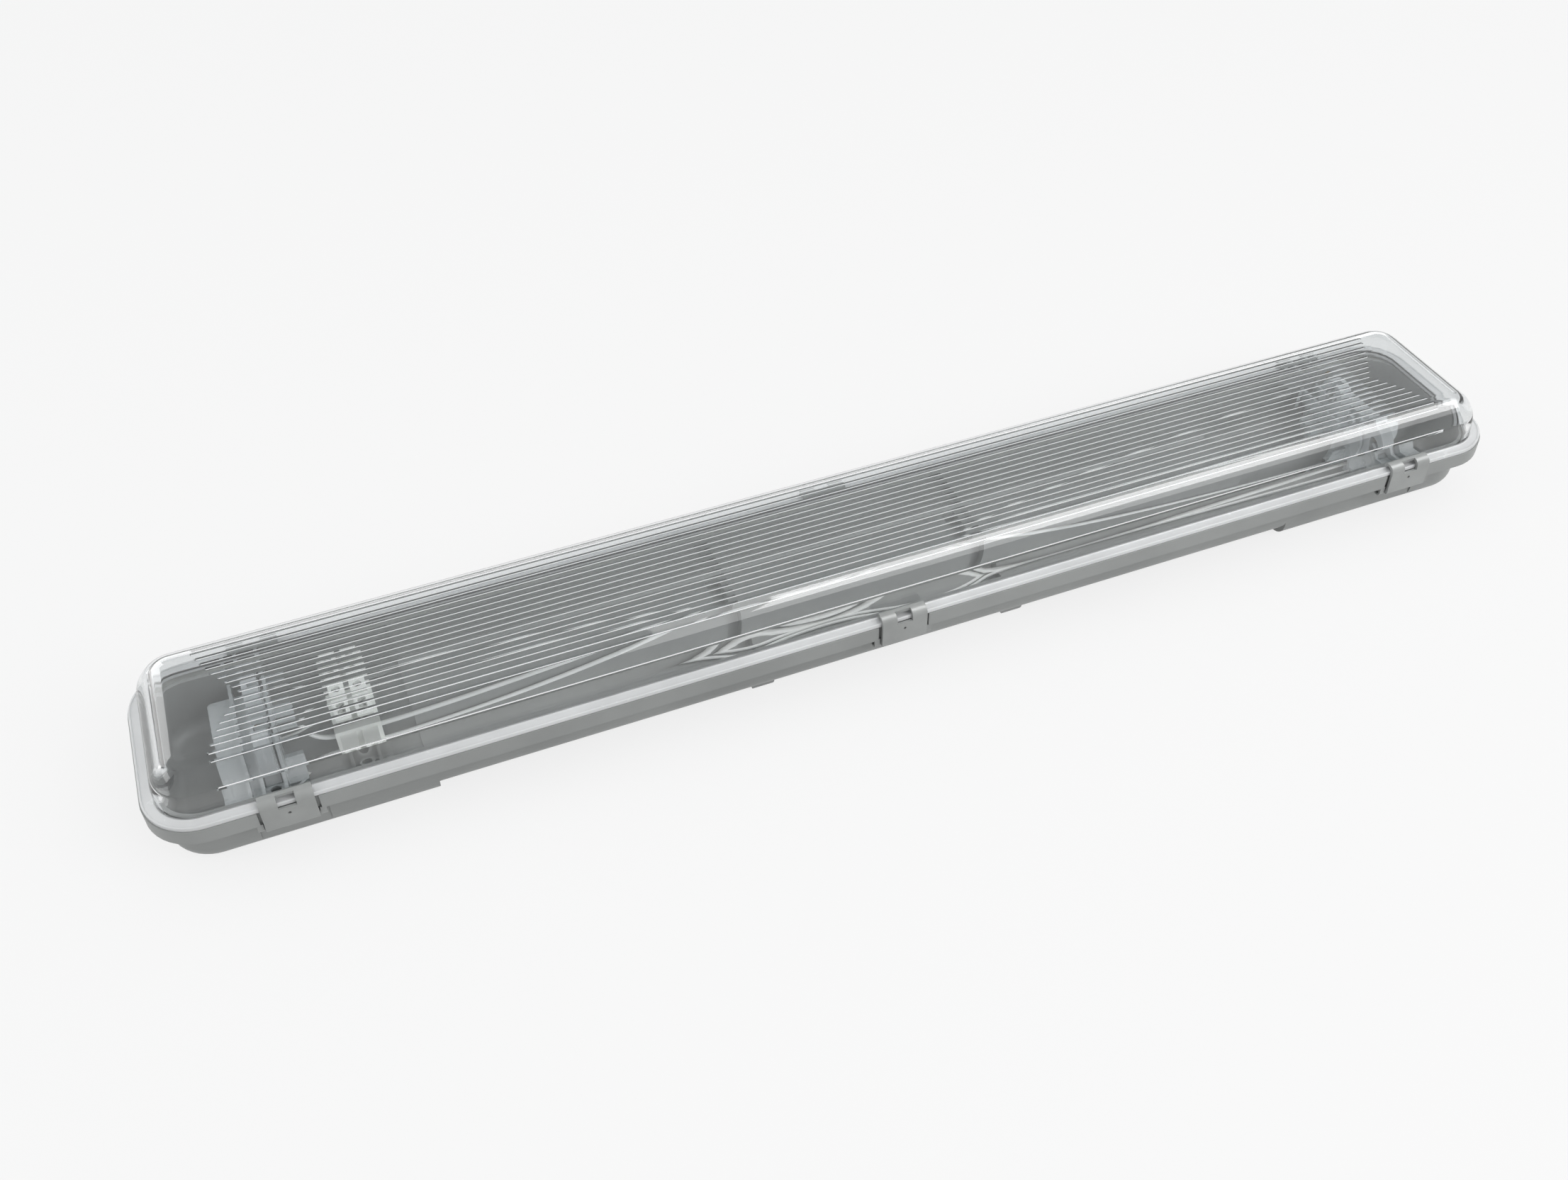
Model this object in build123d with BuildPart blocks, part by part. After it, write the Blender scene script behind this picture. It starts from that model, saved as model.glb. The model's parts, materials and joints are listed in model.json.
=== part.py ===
# Slim weatherproof light fitting for two thin tubes: shallow tray, clear ribbed cover, six clips.
# Millimetres. Length along X, width along Y, +Z up. Zero is on the underside of the deep ends,
# in the middle of the length and of the width.
import math
import os

from build123d import *

os.makedirs("parts", exist_ok=True)

# how far a rib or rail is let into the wall that it stands on
bite = 0.4

# tray: a long tub with deep ends, and a wider rim with a seal groove around its top
overall_length = 660.0
overall_width = 98.0
rim_corner = 24.0
rim_bottom = 23.6
rim_height = 7.4
rim_wall = 2.8
groove_end = 2.8
groove_side = 6.0
shelf = 2.2
lip_drop = 0.8
body_corner = 19.7
body_round = 8.6
middle_round = 6.0
middle_lift = 4.9
wall = 2.2
pod_length = 111.0
ramp_length = 13.0
ramp_rise = 3.6

# cross channels pressed down through the shallow middle
channel_x = 63.5
channel_width = 11.0
channel_side_gap = 4.7
channel_skin = 2.0
channel_foot_round = 3.0

# clear cover
cover_inset_end = 6.0
cover_inset_side = 5.55
cover_corner = 17.3
cover_wall = 1.8
cover_rise = 21.5
cover_shoulder = 15.6
cover_draft = 3.2
flange_inset = 0.6
flange_thick = 1.5
bead_width = 1.0
bead_rise = 0.5
tongue_depth = 2.4
tongue_gap = 0.8
tongue_thick = 1.2
seal_gap = 0.2
seal_inner_gap = 0.8

# inner prism ridges of the cover with flat lands between, which stop short of its ends along a shallow V
ridge_pitch = 3.7
ridge_width = 1.4
ridge_depth = 0.5
ridge_root = 0.4
shoulder_ridges = 5
ridge_stop_middle = 43.0
ridge_stop_half = 33.0
ridge_stop_side = 27.0
ridge_half_y = 15.0
ridge_side_y = 29.0

# clips and their hinges
clip_from_end = 56.0
clip_width = 22.0
clip_thick = 1.5
clip_stand_out = 1.3
clip_reach = 6.4
clip_foot_drop = 1.1
clip_foot_thick = 2.0
clip_foot_round = 1.2
clip_rise = 3.7
clip_bend = 3.6
clip_tip_thick = 1.6
clip_tip_gap = 0.4
clip_window = 7.5
clip_window_lift = 0.1
clip_window_depth = 3.6
clip_hole = 1.3
clip_hole_drop = 3.2
hinge_inset = 2.6
hinge_drop = 2.6
barrel_radius = 2.0
pin_radius = 1.2
pin_length = 2.2
hinge_clearance = 0.3
lug_extra = 0.4
lug_gap = 0.5
lug_thick = 2.6
pocket_gap = 1.4
pocket_depth = 1.4
side_rib_gap = 5.4
side_rib_thick = 1.0
side_rib_reach = 4.0
side_rib_drop = 5.2
panel_margin = 3.6
panel_depth = 0.8

# lampholder carriers in the deep ends, measured from the end of the tub
rib_inner_from_end = 51.0
rib_middle_from_end = 41.8
rib_outer_from_end = 36.2
carrier_from_end = 25.4
wing_from_end = 59.9
hole_from_end = 46.4
hole_y = 27.8
carrier_hole = 4.6
rib_thick = 1.5
rib_side_gap = 1.5
rib_drop = 4.0
rib_rise = 3.2
deck_gap = 0.6
deck_corner = 2.0
deck_top = 20.0
deck_thick = 1.6
wing_pitch = 18.0
wing_width = 9.0
wing_thick = 1.6
wing_z = 14.0
web_y = 28.6
web_thick = 1.0
web_drop = 3.0
web_height = 5.0
gate_width = 5.0
gate_top = 12.0

# lampholders and their contact springs
holder_from_end = 49.4
holder_y = 16.0
holder_thick = 6.6
holder_width = 17.0
holder_axis_z = 31.0
holder_foot = 5.0
holder_gap = 0.3
slot_width = 2.8
slot_depth = 4.2
pin_track_radius = 4.4
pin_track_width = 1.2
contact_thick = 0.4
contact_width = 0.9
contact_height = 7.0
contact_pitch = 1.4
contact_gap = 0.1
contact_drop = 0.6

# terminal block on two floor rails
block_from_end = 84.4
block_y = 8.5
block_length = 20.0
block_body_height = 8.6
pole_pitch = 10.0
pole_count = 3
tower_length = 7.0
tower_width = 7.6
tower_height = 7.0
tower_spread = 9.4
screw_radius = 1.6
screw_gap = 0.3
screw_height = 3.4
screw_sink = 1.2
screw_slot = 0.6
screw_slot_depth = 0.8
cage_length = 15.0
cage_width = 5.0
cage_height = 4.6
cage_wall = 0.8
cage_gap = 0.3
rail_thick = 1.4
rail_height = 2.2
rail_spread = 11.8
rail_length = 60.0
rail_y = -6.0
boss_radius = 3.2
boss_wall = 1.1
boss_height = 2.4
boss_y = -13.0

# wires lie on the floor of the shallow middle
wire_radius = 1.0
wire_rest = 0.05
wire_hole = 3.4
wire_overlap = 2.0
wire_lead_out = 7.5
wire_lead_in = 8.5
front_lead_out = 25.0
back_lead_out = 23.0
far_lead_in = 23.0

# cable entry plug in the hidden end wall
plug_drop = 0.6
plug_flange = 7.0
plug_flange_thick = 1.4
plug_neck = 4.8
plug_gap = 0.2
plug_barb = 1.6
plug_skin = 1.4
plug_recess = 1.0

rim_top = rim_bottom + rim_height
lip_top = rim_top - lip_drop
body_length = overall_length - 2 * (rim_wall + groove_end)
body_width = overall_width - 2 * (rim_wall + groove_side)
body_end = body_length / 2
body_side = body_width / 2
pod_edge = body_end - pod_length
channel_reach = body_side - channel_side_gap
floor_z = middle_lift + wall
groove_floor = rim_bottom + shelf
gasket_top = rim_top - tongue_depth
flange_top = rim_top + flange_thick
cover_length = overall_length - 2 * cover_inset_end
cover_width = overall_width - 2 * cover_inset_side
cover_top = flange_top + cover_rise
wire_z = floor_z + wire_radius + wire_rest


def ring_plan(length, width, corner, inset, mode=Mode.ADD):
    RectangleRounded(length - 2 * inset, width - 2 * inset, corner - inset, mode=mode)


# The tub form is used twice: as the outside of the tray, and drawn in by the wall as its room.
def tub_form(inset, top):
    pod_start = pod_edge + inset
    low = middle_lift + inset
    with BuildPart() as form:
        with BuildSketch(Plane.XY.offset(inset)):
            ring_plan(body_length, body_width, body_corner, inset)
        extrude(amount=top - inset)
        fillet(form.faces().sort_by(Axis.Z)[0].edges(), body_round - inset)
        Box(2 * pod_start, body_width, 4 * top, mode=Mode.SUBTRACT)
        with BuildSketch(Plane.YZ) as middle:
            with Locations((0, (low + top) / 2)):
                Rectangle(body_width - 2 * inset, top - low)
            fillet(middle.vertices().sort_by(Axis.Y)[:2], middle_round - inset)
        extrude(amount=pod_start, both=True)
    return form.part


tray_outside = tub_form(0.0, lip_top)
tray_room = tub_form(wall, lip_top + wall)

clip_x = overall_length / 2 - clip_from_end
clip_places = [(x, side) for side in (-1, 1) for x in (-clip_x, 0.0, clip_x)]
hinge_y = overall_width / 2 - hinge_inset
hinge_z = rim_bottom - hinge_drop
lug_centre = clip_width / 2 + lug_gap + lug_thick / 2
lug_radius = barrel_radius + lug_extra

block_x = block_from_end - body_end
plug_z = rim_bottom - plug_drop - plug_flange

with BuildPart() as base_tray:
    add(tray_outside)
    # rim around the top, with its groove for the seal
    with BuildSketch(Plane.XY.offset(rim_bottom)):
        ring_plan(overall_length, overall_width, rim_corner, 0)
        ring_plan(body_length, body_width, body_corner, wall / 2, Mode.SUBTRACT)
    extrude(amount=rim_top - rim_bottom)
    with BuildSketch(Plane.XY.offset(groove_floor)):
        ring_plan(overall_length, overall_width, rim_corner, rim_wall)
        ring_plan(body_length, body_width, body_corner, 0, Mode.SUBTRACT)
    extrude(amount=rim_top, mode=Mode.SUBTRACT)
    with BuildSketch(Plane.XY.offset(lip_top)):
        ring_plan(overall_length, overall_width, rim_corner, rim_wall)
    extrude(amount=rim_top, mode=Mode.SUBTRACT)
    add(tray_room, mode=Mode.SUBTRACT)
    # half-round channels across the middle, closed below by their own skin
    with Locations((-channel_x, 0, floor_z / 2), (channel_x, 0, floor_z / 2)):
        Box(channel_width, 2 * channel_reach, floor_z)
    feet = base_tray.edges().filter_by_position(Axis.Z, -0.01, 0.01)
    feet = feet.filter_by_position(Axis.X, -channel_x - channel_width, channel_x + channel_width)
    fillet(feet, channel_foot_round)
    with Locations((-channel_x, 0, floor_z + channel_skin), (channel_x, 0, floor_z + channel_skin)):
        Box(
            channel_width - 2 * channel_skin,
            2 * (channel_reach - channel_skin),
            2 * floor_z,
            mode=Mode.SUBTRACT,
        )
    # sloped step from each deep end up to the shallow floor
    with BuildSketch(Plane.XZ) as ramp:
        start = pod_edge + wall
        for side in (-1, 1):
            Polygon(
                (side * (start - bite), wall - bite),
                (side * (start + ramp_length), wall - bite),
                (side * (start + ramp_length), wall),
                (side * start, wall + ramp_rise),
                (side * (start - bite), wall + ramp_rise),
                align=None,
            )
    extrude(amount=body_side - wall - ramp_rise / 2, both=True)
    # pockets for the clips, hinge lugs below them, thin ribs and a flat panel beside them
    for x, side in clip_places:
        with Locations((x, side * (overall_width / 2), (rim_bottom + rim_top) / 2)):
            Box(clip_width + 2 * pocket_gap, 2 * pocket_depth, rim_top, mode=Mode.SUBTRACT)
        for end in (-1, 1):
            with BuildSketch(Plane.YZ.offset(x + end * lug_centre)) as lug:
                with Locations((side * hinge_y, hinge_z)):
                    Circle(lug_radius)
                with Locations((side * hinge_y, (hinge_z + rim_bottom + bite) / 2)):
                    Rectangle(2 * lug_radius, hinge_drop + bite)
                with Locations((side * hinge_y, hinge_z)):
                    Circle(pin_radius + hinge_clearance, mode=Mode.SUBTRACT)
            extrude(amount=lug_thick / 2, both=True)
            rib_x = x + end * (clip_width / 2 + side_rib_gap)
            rib_y = side * (body_side + (side_rib_reach - bite) / 2)
            with Locations((rib_x, rib_y, rim_bottom + (bite - side_rib_drop) / 2)):
                Box(side_rib_thick, side_rib_reach + bite, side_rib_drop + bite)
        if x != 0:
            with Locations((x, side * body_side, 0)):
                Box(clip_width + 2 * panel_margin, 2 * panel_depth, 2 * rim_bottom, mode=Mode.SUBTRACT)
    # rails and the ring boss in front of the terminal block
    for end in (-1, 1):
        with Locations((block_x + end * rail_spread / 2, rail_y, wall + (rail_height - bite) / 2)):
            Box(rail_thick, rail_length, rail_height + bite)
    with BuildSketch(Plane.XY.offset(wall - bite)):
        with Locations((block_x, boss_y)):
            Circle(boss_radius)
            Circle(boss_radius - boss_wall, mode=Mode.SUBTRACT)
    extrude(amount=boss_height + bite)
    # round opening for the cable plug
    with Locations(Location((-body_end, 0, plug_z), (0, 90, 0))):
        Cylinder(plug_neck + plug_gap, 4 * wall, mode=Mode.SUBTRACT)

with BuildPart() as gasket:
    with BuildSketch(Plane.XY.offset(groove_floor)):
        ring_plan(overall_length, overall_width, rim_corner, rim_wall + seal_gap)
        ring_plan(body_length, body_width, body_corner, -seal_inner_gap, Mode.SUBTRACT)
    extrude(amount=gasket_top - groove_floor)


# Rounded shell forms of the cover, again drawn in by the wall for the inside.
def cover_form(inset):
    with BuildPart() as form:
        with BuildSketch(Plane.XY.offset(flange_top)):
            ring_plan(cover_length, cover_width, cover_corner, inset)
        extrude(amount=cover_top - inset - flange_top, taper=cover_draft)
        fillet(form.faces().sort_by(Axis.Z)[-1].edges(), cover_shoulder - inset)
        with BuildSketch(Plane.XY.offset(rim_top)):
            ring_plan(cover_length, cover_width, cover_corner, inset)
        extrude(amount=flange_thick)
    return form.part


cover_outside = cover_form(0.0)
cover_room = cover_form(cover_wall)

shoulder_radius = cover_shoulder - cover_wall
shoulder_z = cover_top - cover_shoulder
draft = math.tan(math.radians(cover_draft))
wall_at_shoulder = cover_width / 2 - cover_wall - draft * (shoulder_z - flange_top)
shoulder_y = wall_at_shoulder - shoulder_radius / math.cos(math.radians(cover_draft))
flat_ridges = 2 * int(shoulder_y / ridge_pitch) + 1
ridge_angle = math.degrees(ridge_pitch / shoulder_radius)
first_angle = math.degrees((flat_ridges * ridge_pitch / 2 - shoulder_y) / shoulder_radius)

ridge_end_middle = cover_length / 2 - ridge_stop_middle
ridge_end_half = cover_length / 2 - ridge_stop_half
ridge_end_side = cover_length / 2 - ridge_stop_side

with BuildPart() as prism_field:
    with BuildSketch(Plane.YZ):
        ridge = [
            (-ridge_width / 2, ridge_root),
            (-ridge_width / 2, 0),
            (0, -ridge_depth),
            (ridge_width / 2, 0),
            (ridge_width / 2, ridge_root),
        ]
        for i in range(flat_ridges):
            y = (i - (flat_ridges - 1) / 2) * ridge_pitch
            with Locations((y, cover_top - cover_wall)):
                Polygon(*ridge, align=None)
        for side in (-1, 1):
            for i in range(shoulder_ridges):
                turn = first_angle + (i + 0.5) * ridge_angle
                y = shoulder_y + shoulder_radius * math.sin(math.radians(turn))
                z = shoulder_z + shoulder_radius * math.cos(math.radians(turn))
                with Locations(Location((side * y, z, 0), (0, 0, -side * turn))):
                    Polygon(*ridge, align=None)
    extrude(amount=ridge_end_side, both=True)
    # the ridges stop along a shallow V at both ends
    with BuildSketch(Plane.XY.offset(rim_top)):
        for end in (-1, 1):
            for side in (-1, 1):
                Polygon(
                    (end * ridge_end_middle, 0),
                    (end * ridge_end_half, side * ridge_half_y),
                    (end * ridge_end_side, side * ridge_side_y),
                    (end * cover_length / 2, side * ridge_side_y),
                    (end * cover_length / 2, 0),
                    align=None,
                )
    extrude(amount=cover_top, mode=Mode.SUBTRACT)

with BuildPart() as diffuser:
    add(cover_outside)
    # flange that lies on the rim, with a raised bead along its edge
    with BuildSketch(Plane.XY.offset(rim_top)):
        ring_plan(overall_length, overall_width, rim_corner, flange_inset)
    extrude(amount=flange_thick)
    with BuildSketch(Plane.XY.offset(rim_top)):
        ring_plan(overall_length, overall_width, rim_corner, flange_inset)
        ring_plan(overall_length, overall_width, rim_corner, flange_inset + bead_width, Mode.SUBTRACT)
    extrude(amount=flange_thick + bead_rise)
    # tongue that presses on the seal
    with BuildSketch(Plane.XY.offset(gasket_top)):
        tongue_inset = rim_wall + tongue_gap
        ring_plan(overall_length, overall_width, rim_corner, tongue_inset)
        ring_plan(overall_length, overall_width, rim_corner, tongue_inset + tongue_thick, Mode.SUBTRACT)
    extrude(amount=tongue_depth)
    add(cover_room, mode=Mode.SUBTRACT)
    add(prism_field.part)

# One clip is drawn on the front side in the middle and set in six places.
clip_outer_y = overall_width / 2 + clip_stand_out
clip_tip_y = clip_outer_y - clip_reach
clip_bottom = hinge_z - clip_foot_drop
clip_top = flange_top + clip_rise
window_bottom = rim_top + clip_window_lift
inner_face = clip_outer_y - clip_thick
with BuildPart() as clip:
    with BuildSketch(Plane.YZ) as hook:
        with BuildLine():
            top_start = (-clip_outer_y + clip_bend, clip_top)
            Polyline(
                (-hinge_y, clip_bottom + clip_foot_thick),
                (-hinge_y, clip_bottom),
                (-clip_outer_y, clip_bottom),
                (-clip_outer_y, clip_top - clip_bend),
            )
            RadiusArc((-clip_outer_y, clip_top - clip_bend), top_start, clip_bend)
            tip_turn = (-clip_tip_y - clip_tip_thick, clip_top)
            Line(top_start, tip_turn)
            RadiusArc(tip_turn, (-clip_tip_y, clip_top - clip_tip_thick), clip_tip_thick)
            tip_z = flange_top + bead_rise + clip_tip_gap
            inner_bend = clip_bend - clip_thick
            inner_top = clip_top - clip_thick
            Polyline(
                (-clip_tip_y, clip_top - clip_tip_thick),
                (-clip_tip_y, tip_z),
                (-clip_tip_y - clip_tip_thick, tip_z),
                (-clip_tip_y - clip_tip_thick, inner_top),
                (-inner_face + inner_bend, inner_top),
            )
            RadiusArc(
                (-inner_face + inner_bend, inner_top), (-inner_face, inner_top - inner_bend), -inner_bend
            )
            Polyline(
                (-inner_face, inner_top - inner_bend),
                (-inner_face, clip_bottom + clip_foot_thick),
                (-hinge_y, clip_bottom + clip_foot_thick),
            )
        make_face()
    extrude(amount=clip_width / 2, both=True)
    bottom_edge = clip.edges().filter_by(Axis.X).filter_by_position(Axis.Z, clip_bottom - 0.01, clip_bottom + 0.01)
    fillet(bottom_edge.sort_by(Axis.Y)[0], clip_foot_round)
    with Locations((0, -clip_outer_y, window_bottom + clip_top / 2)):
        Box(clip_window, 2 * clip_window_depth, clip_top, mode=Mode.SUBTRACT)
    with Locations(Location((0, -clip_outer_y, window_bottom - clip_hole_drop), (90, 0, 0))):
        Cylinder(clip_hole / 2, 4 * clip_thick, mode=Mode.SUBTRACT)
    with BuildSketch(Plane.YZ):
        with Locations((-hinge_y, hinge_z)):
            Circle(barrel_radius)
    extrude(amount=clip_width / 2, both=True)
    with BuildSketch(Plane.YZ):
        with Locations((-hinge_y, hinge_z)):
            Circle(pin_radius)
    extrude(amount=clip_width / 2 + pin_length, both=True)

# Carrier of the left end: a hollow deck with three upright ribs.
deck_inner = body_end - rib_inner_from_end - rib_thick / 2
deck_outer = body_end - carrier_from_end
deck_middle = (deck_outer + deck_inner) / 2
deck_half = body_side - body_round - deck_gap
rib_half = body_side - wall - rib_side_gap
wing_reach = body_end - wing_from_end
holder_face = body_end - holder_from_end
with BuildPart() as carrier_left:
    with BuildSketch(Plane.XY.offset(wall)):
        with Locations((-deck_middle, 0)):
            RectangleRounded(deck_outer - deck_inner, 2 * deck_half, deck_corner)
    extrude(amount=deck_top - wall)
    with Locations((-deck_middle, 0, 0)):
        Box(
            deck_outer - deck_inner - 2 * rib_thick,
            2 * (deck_half - rib_thick),
            2 * (deck_top - deck_thick),
            mode=Mode.SUBTRACT,
        )
    for from_end in (rib_inner_from_end, rib_middle_from_end, rib_outer_from_end):
        with Locations((from_end - body_end, 0, deck_top + (rib_rise - rib_drop) / 2)):
            Box(rib_thick, 2 * rib_half, rib_rise + rib_drop)
    # small wings towards the tubes and a slanted web at the front
    for y in (-wing_pitch, 0.0, wing_pitch):
        with Locations((-(wing_reach + deck_inner + bite) / 2, y, wing_z)):
            Box(deck_inner + bite - wing_reach, wing_width, wing_thick)
    with BuildSketch(Plane.XY.offset(deck_top - web_drop)):
        Polygon(
            (-deck_inner - web_thick, web_thick - rib_half),
            (-deck_inner, -rib_half),
            (-wing_reach, -web_y),
            (-wing_reach - web_thick, web_thick - web_y),
            align=None,
        )
    extrude(amount=web_height)
    # seats for the holders, wire gates and the round hole
    for y in (-holder_y, holder_y):
        with Locations((-holder_face - holder_thick / 2, y, deck_top)):
            Box(
                holder_thick + 2 * holder_gap,
                holder_width + 2 * holder_gap,
                2 * (rib_rise + 2 * deck_thick),
                mode=Mode.SUBTRACT,
            )
        with Locations((-deck_inner, y, 0)):
            Box(4 * rib_thick, gate_width, 2 * gate_top, mode=Mode.SUBTRACT)
    with Locations((hole_from_end - body_end, -hole_y, deck_top)):
        Cylinder(carrier_hole / 2, 4 * deck_thick, mode=Mode.SUBTRACT)

# Lampholder at the left front: foot below the deck, rounded head with its slot.
with BuildPart() as holder:
    with BuildSketch(Plane.YZ.offset(-holder_face)):
        with Locations((-holder_y, holder_axis_z)):
            Circle(holder_width / 2)
        with Locations((-holder_y, (holder_foot + holder_axis_z) / 2)):
            Rectangle(holder_width, holder_axis_z - holder_foot)
    extrude(amount=-holder_thick)
    with BuildSketch(Plane.YZ.offset(-holder_face)):
        with Locations((-holder_y, holder_axis_z)):
            Circle(pin_track_radius)
            Circle(pin_track_radius - pin_track_width, mode=Mode.SUBTRACT)
        with Locations((-holder_y, holder_axis_z + holder_width / 4)):
            Rectangle(slot_width, holder_width / 2 + bite)
        with Locations((-holder_y, holder_axis_z)):
            Rectangle(slot_width, 2 * pin_track_radius)
    extrude(amount=-slot_depth, mode=Mode.SUBTRACT)
    with Locations(Location((-holder_face, -holder_y, wire_z), (0, 90, 0))):
        Cylinder(wire_hole / 2, holder_thick, mode=Mode.SUBTRACT)

# Contact springs: a thin strip on each side of the pin slot, at the bottom of the slot.
contact_x = -holder_face - slot_depth + contact_gap + contact_thick / 2
with BuildPart() as contacts:
    with Locations((contact_x, -holder_y, holder_axis_z - contact_drop)):
        with Locations((0, -contact_pitch / 2, 0), (0, contact_pitch / 2, 0)):
            Box(contact_thick, contact_width, contact_height)

# Terminal block: a low body with two screw towers on every pole.
block_base = wall + rail_height
block_shoulder = block_base + block_body_height
block_top = block_shoulder + tower_height
block_width = pole_count * pole_pitch
pole_ys = [block_y + (i - (pole_count - 1) / 2) * pole_pitch for i in range(pole_count)]
tower_places = [(block_x + end * tower_spread / 2, y) for y in pole_ys for end in (-1, 1)]
with BuildPart() as terminal_block:
    with BuildSketch(Plane.XY.offset(block_base)):
        with Locations((block_x, block_y)):
            Rectangle(block_length, block_width)
    extrude(amount=block_body_height)
    with BuildSketch(Plane.XY.offset(block_shoulder)):
        with Locations(*tower_places):
            Rectangle(tower_length, tower_width)
    extrude(amount=tower_height)
    for y in pole_ys:
        with Locations(Location((block_x, y, wire_z), (0, 90, 0))):
            Cylinder(wire_hole / 2, 2 * block_length, mode=Mode.SUBTRACT)
        with Locations((block_x, y, wire_z)):
            Box(
                cage_length + 2 * cage_gap,
                cage_width + 2 * cage_gap,
                cage_height + 2 * cage_gap,
                mode=Mode.SUBTRACT,
            )
    with Locations(*[(x, y, block_top) for x, y in tower_places]):
        Cylinder(screw_radius + screw_gap, 2 * (block_top - wire_z), mode=Mode.SUBTRACT)

# Folded brass cages, one to a pole, with a hole under every screw.
with BuildPart() as terminal_inserts:
    with Locations(*[(block_x, y, wire_z) for y in pole_ys]):
        Box(cage_length, cage_width, cage_height)
        Box(cage_length, cage_width - 2 * cage_wall, cage_height - 2 * cage_wall, mode=Mode.SUBTRACT)
    with Locations(*[(x, y, block_top) for x, y in tower_places]):
        Cylinder(screw_radius + screw_gap, 2 * (block_top - wire_z), mode=Mode.SUBTRACT)

screw_z = block_top - screw_sink - screw_height
with BuildPart() as terminal_screws:
    with Locations(*[(x, y, screw_z) for x, y in tower_places]):
        Cylinder(screw_radius, screw_height, align=(Align.CENTER, Align.CENTER, Align.MIN))
    with Locations(*[(x, y, screw_z + screw_height) for x, y in tower_places]):
        Box(screw_slot, 4 * screw_radius, 2 * screw_slot_depth, mode=Mode.SUBTRACT)

# Soft plug that closes the cable opening.
plug_face = -body_end - plug_flange_thick
plug_inside = wall - body_end
with BuildPart() as cable_plug:
    with BuildSketch(Plane.XZ) as plug_half:
        with BuildLine():
            Polyline(
                (plug_face, plug_z),
                (plug_face, plug_z + plug_flange),
                (-body_end, plug_z + plug_flange),
                (-body_end, plug_z + plug_neck),
                (plug_inside, plug_z + plug_neck),
                (plug_inside, plug_z + plug_flange - plug_recess),
                (plug_inside + plug_barb, plug_z + plug_neck),
                (plug_inside + plug_barb, plug_z),
                (plug_face, plug_z),
            )
        make_face()
    revolve(axis=Axis((0, 0, plug_z), (1, 0, 0)))
    with Locations(Location((plug_face, 0, plug_z), (0, 90, 0))):
        Cylinder(plug_neck - plug_skin, 2 * plug_recess, mode=Mode.SUBTRACT)


# Wires: straight runs joined by arcs that take most of the shorter run beside them.
def corner_radii(points):
    radii = []
    for before, here, after in zip(points, points[1:], points[2:]):
        run_in = math.dist(before, here)
        run_out = math.dist(here, after)
        heading_in = math.atan2(here[1] - before[1], here[0] - before[0])
        heading_out = math.atan2(after[1] - here[1], after[0] - here[0])
        turn = abs((heading_out - heading_in + math.pi) % (2 * math.pi) - math.pi)
        radii.append(0.45 * min(run_in, run_out) / math.tan(turn / 2))
    return radii


def wire(points):
    radii = corner_radii(points)
    with BuildPart() as strand:
        with BuildLine(Plane.XY.offset(wire_z)) as route:
            FilletPolyline(*points, radius=radii)
        path = route.wires()[0]
        with BuildSketch(Plane(origin=path @ 0, z_dir=path % 0)):
            Circle(wire_radius)
        sweep()
    ideal = math.pi * wire_radius**2 * path.length
    print("wire radii", [round(r, 1) for r in radii])
    print("length", round(path.length, 1), "volume ratio", round(strand.part.volume / ideal, 4))
    return strand.part


block_left = block_x - block_length / 2
block_right = block_x + block_length / 2
socket_x = holder_face + wire_overlap
wire_far_front = wire(
    [
        (block_right - wire_overlap, pole_ys[0]),
        (block_right + front_lead_out, pole_ys[0]),
        (-92.0, -12.8),
        (-65.6, -17.5),
        (-42.0, -12.8),
        (-17.0, -12.4),
        (19.0, -21.0),
        (64.0, -10.0),
        (holder_face - far_lead_in, -holder_y),
        (socket_x, -holder_y),
    ]
)
wire_far_back = wire(
    [
        (block_right - wire_overlap, pole_ys[1]),
        (block_right + back_lead_out, pole_ys[1]),
        (-92.0, -8.4),
        (-65.0, -12.6),
        (-42.0, -8.6),
        (-15.0, -8.0),
        (20.0, -16.0),
        (64.0, -4.8),
        (holder_face - far_lead_in, holder_y),
        (socket_x, holder_y),
    ]
)
wire_near_front = wire(
    [
        (block_left + wire_overlap, pole_ys[0]),
        (block_left - wire_lead_out, pole_ys[0]),
        (wire_lead_in - holder_face, -holder_y),
        (-socket_x, -holder_y),
    ]
)
wire_near_back = wire(
    [
        (block_left + wire_overlap, pole_ys[1]),
        (block_left - wire_lead_out, pole_ys[1]),
        (wire_lead_in - holder_face, holder_y),
        (-socket_x, holder_y),
    ]
)

half_turn = Location((0, 0, 0), (0, 0, 180))
pieces = {
    "base_tray": base_tray.part,
    "gasket": gasket.part,
    "diffuser": diffuser.part,
    "carrier_left": carrier_left.part,
    "carrier_right": half_turn * carrier_left.part,
    "lampholder_left_front": holder.part,
    "lampholder_left_back": Pos(0, 2 * holder_y, 0) * holder.part,
    "lampholder_right_back": half_turn * holder.part,
    "lampholder_right_front": half_turn * Pos(0, 2 * holder_y, 0) * holder.part,
    "contacts_left_front": contacts.part,
    "contacts_left_back": Pos(0, 2 * holder_y, 0) * contacts.part,
    "contacts_right_back": half_turn * contacts.part,
    "contacts_right_front": half_turn * Pos(0, 2 * holder_y, 0) * contacts.part,
    "terminal_block": terminal_block.part,
    "terminal_inserts": terminal_inserts.part,
    "terminal_screws": terminal_screws.part,
    "cable_plug": cable_plug.part,
    "wire_far_front": wire_far_front,
    "wire_far_back": wire_far_back,
    "wire_near_front": wire_near_front,
    "wire_near_back": wire_near_back,
}
for place, x in (("left", -clip_x), ("middle", 0.0), ("right", clip_x)):
    pieces["clip_front_" + place] = Pos(x, 0, 0) * clip.part
    pieces["clip_back_" + place] = Pos(x, 0, 0) * half_turn * clip.part

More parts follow.
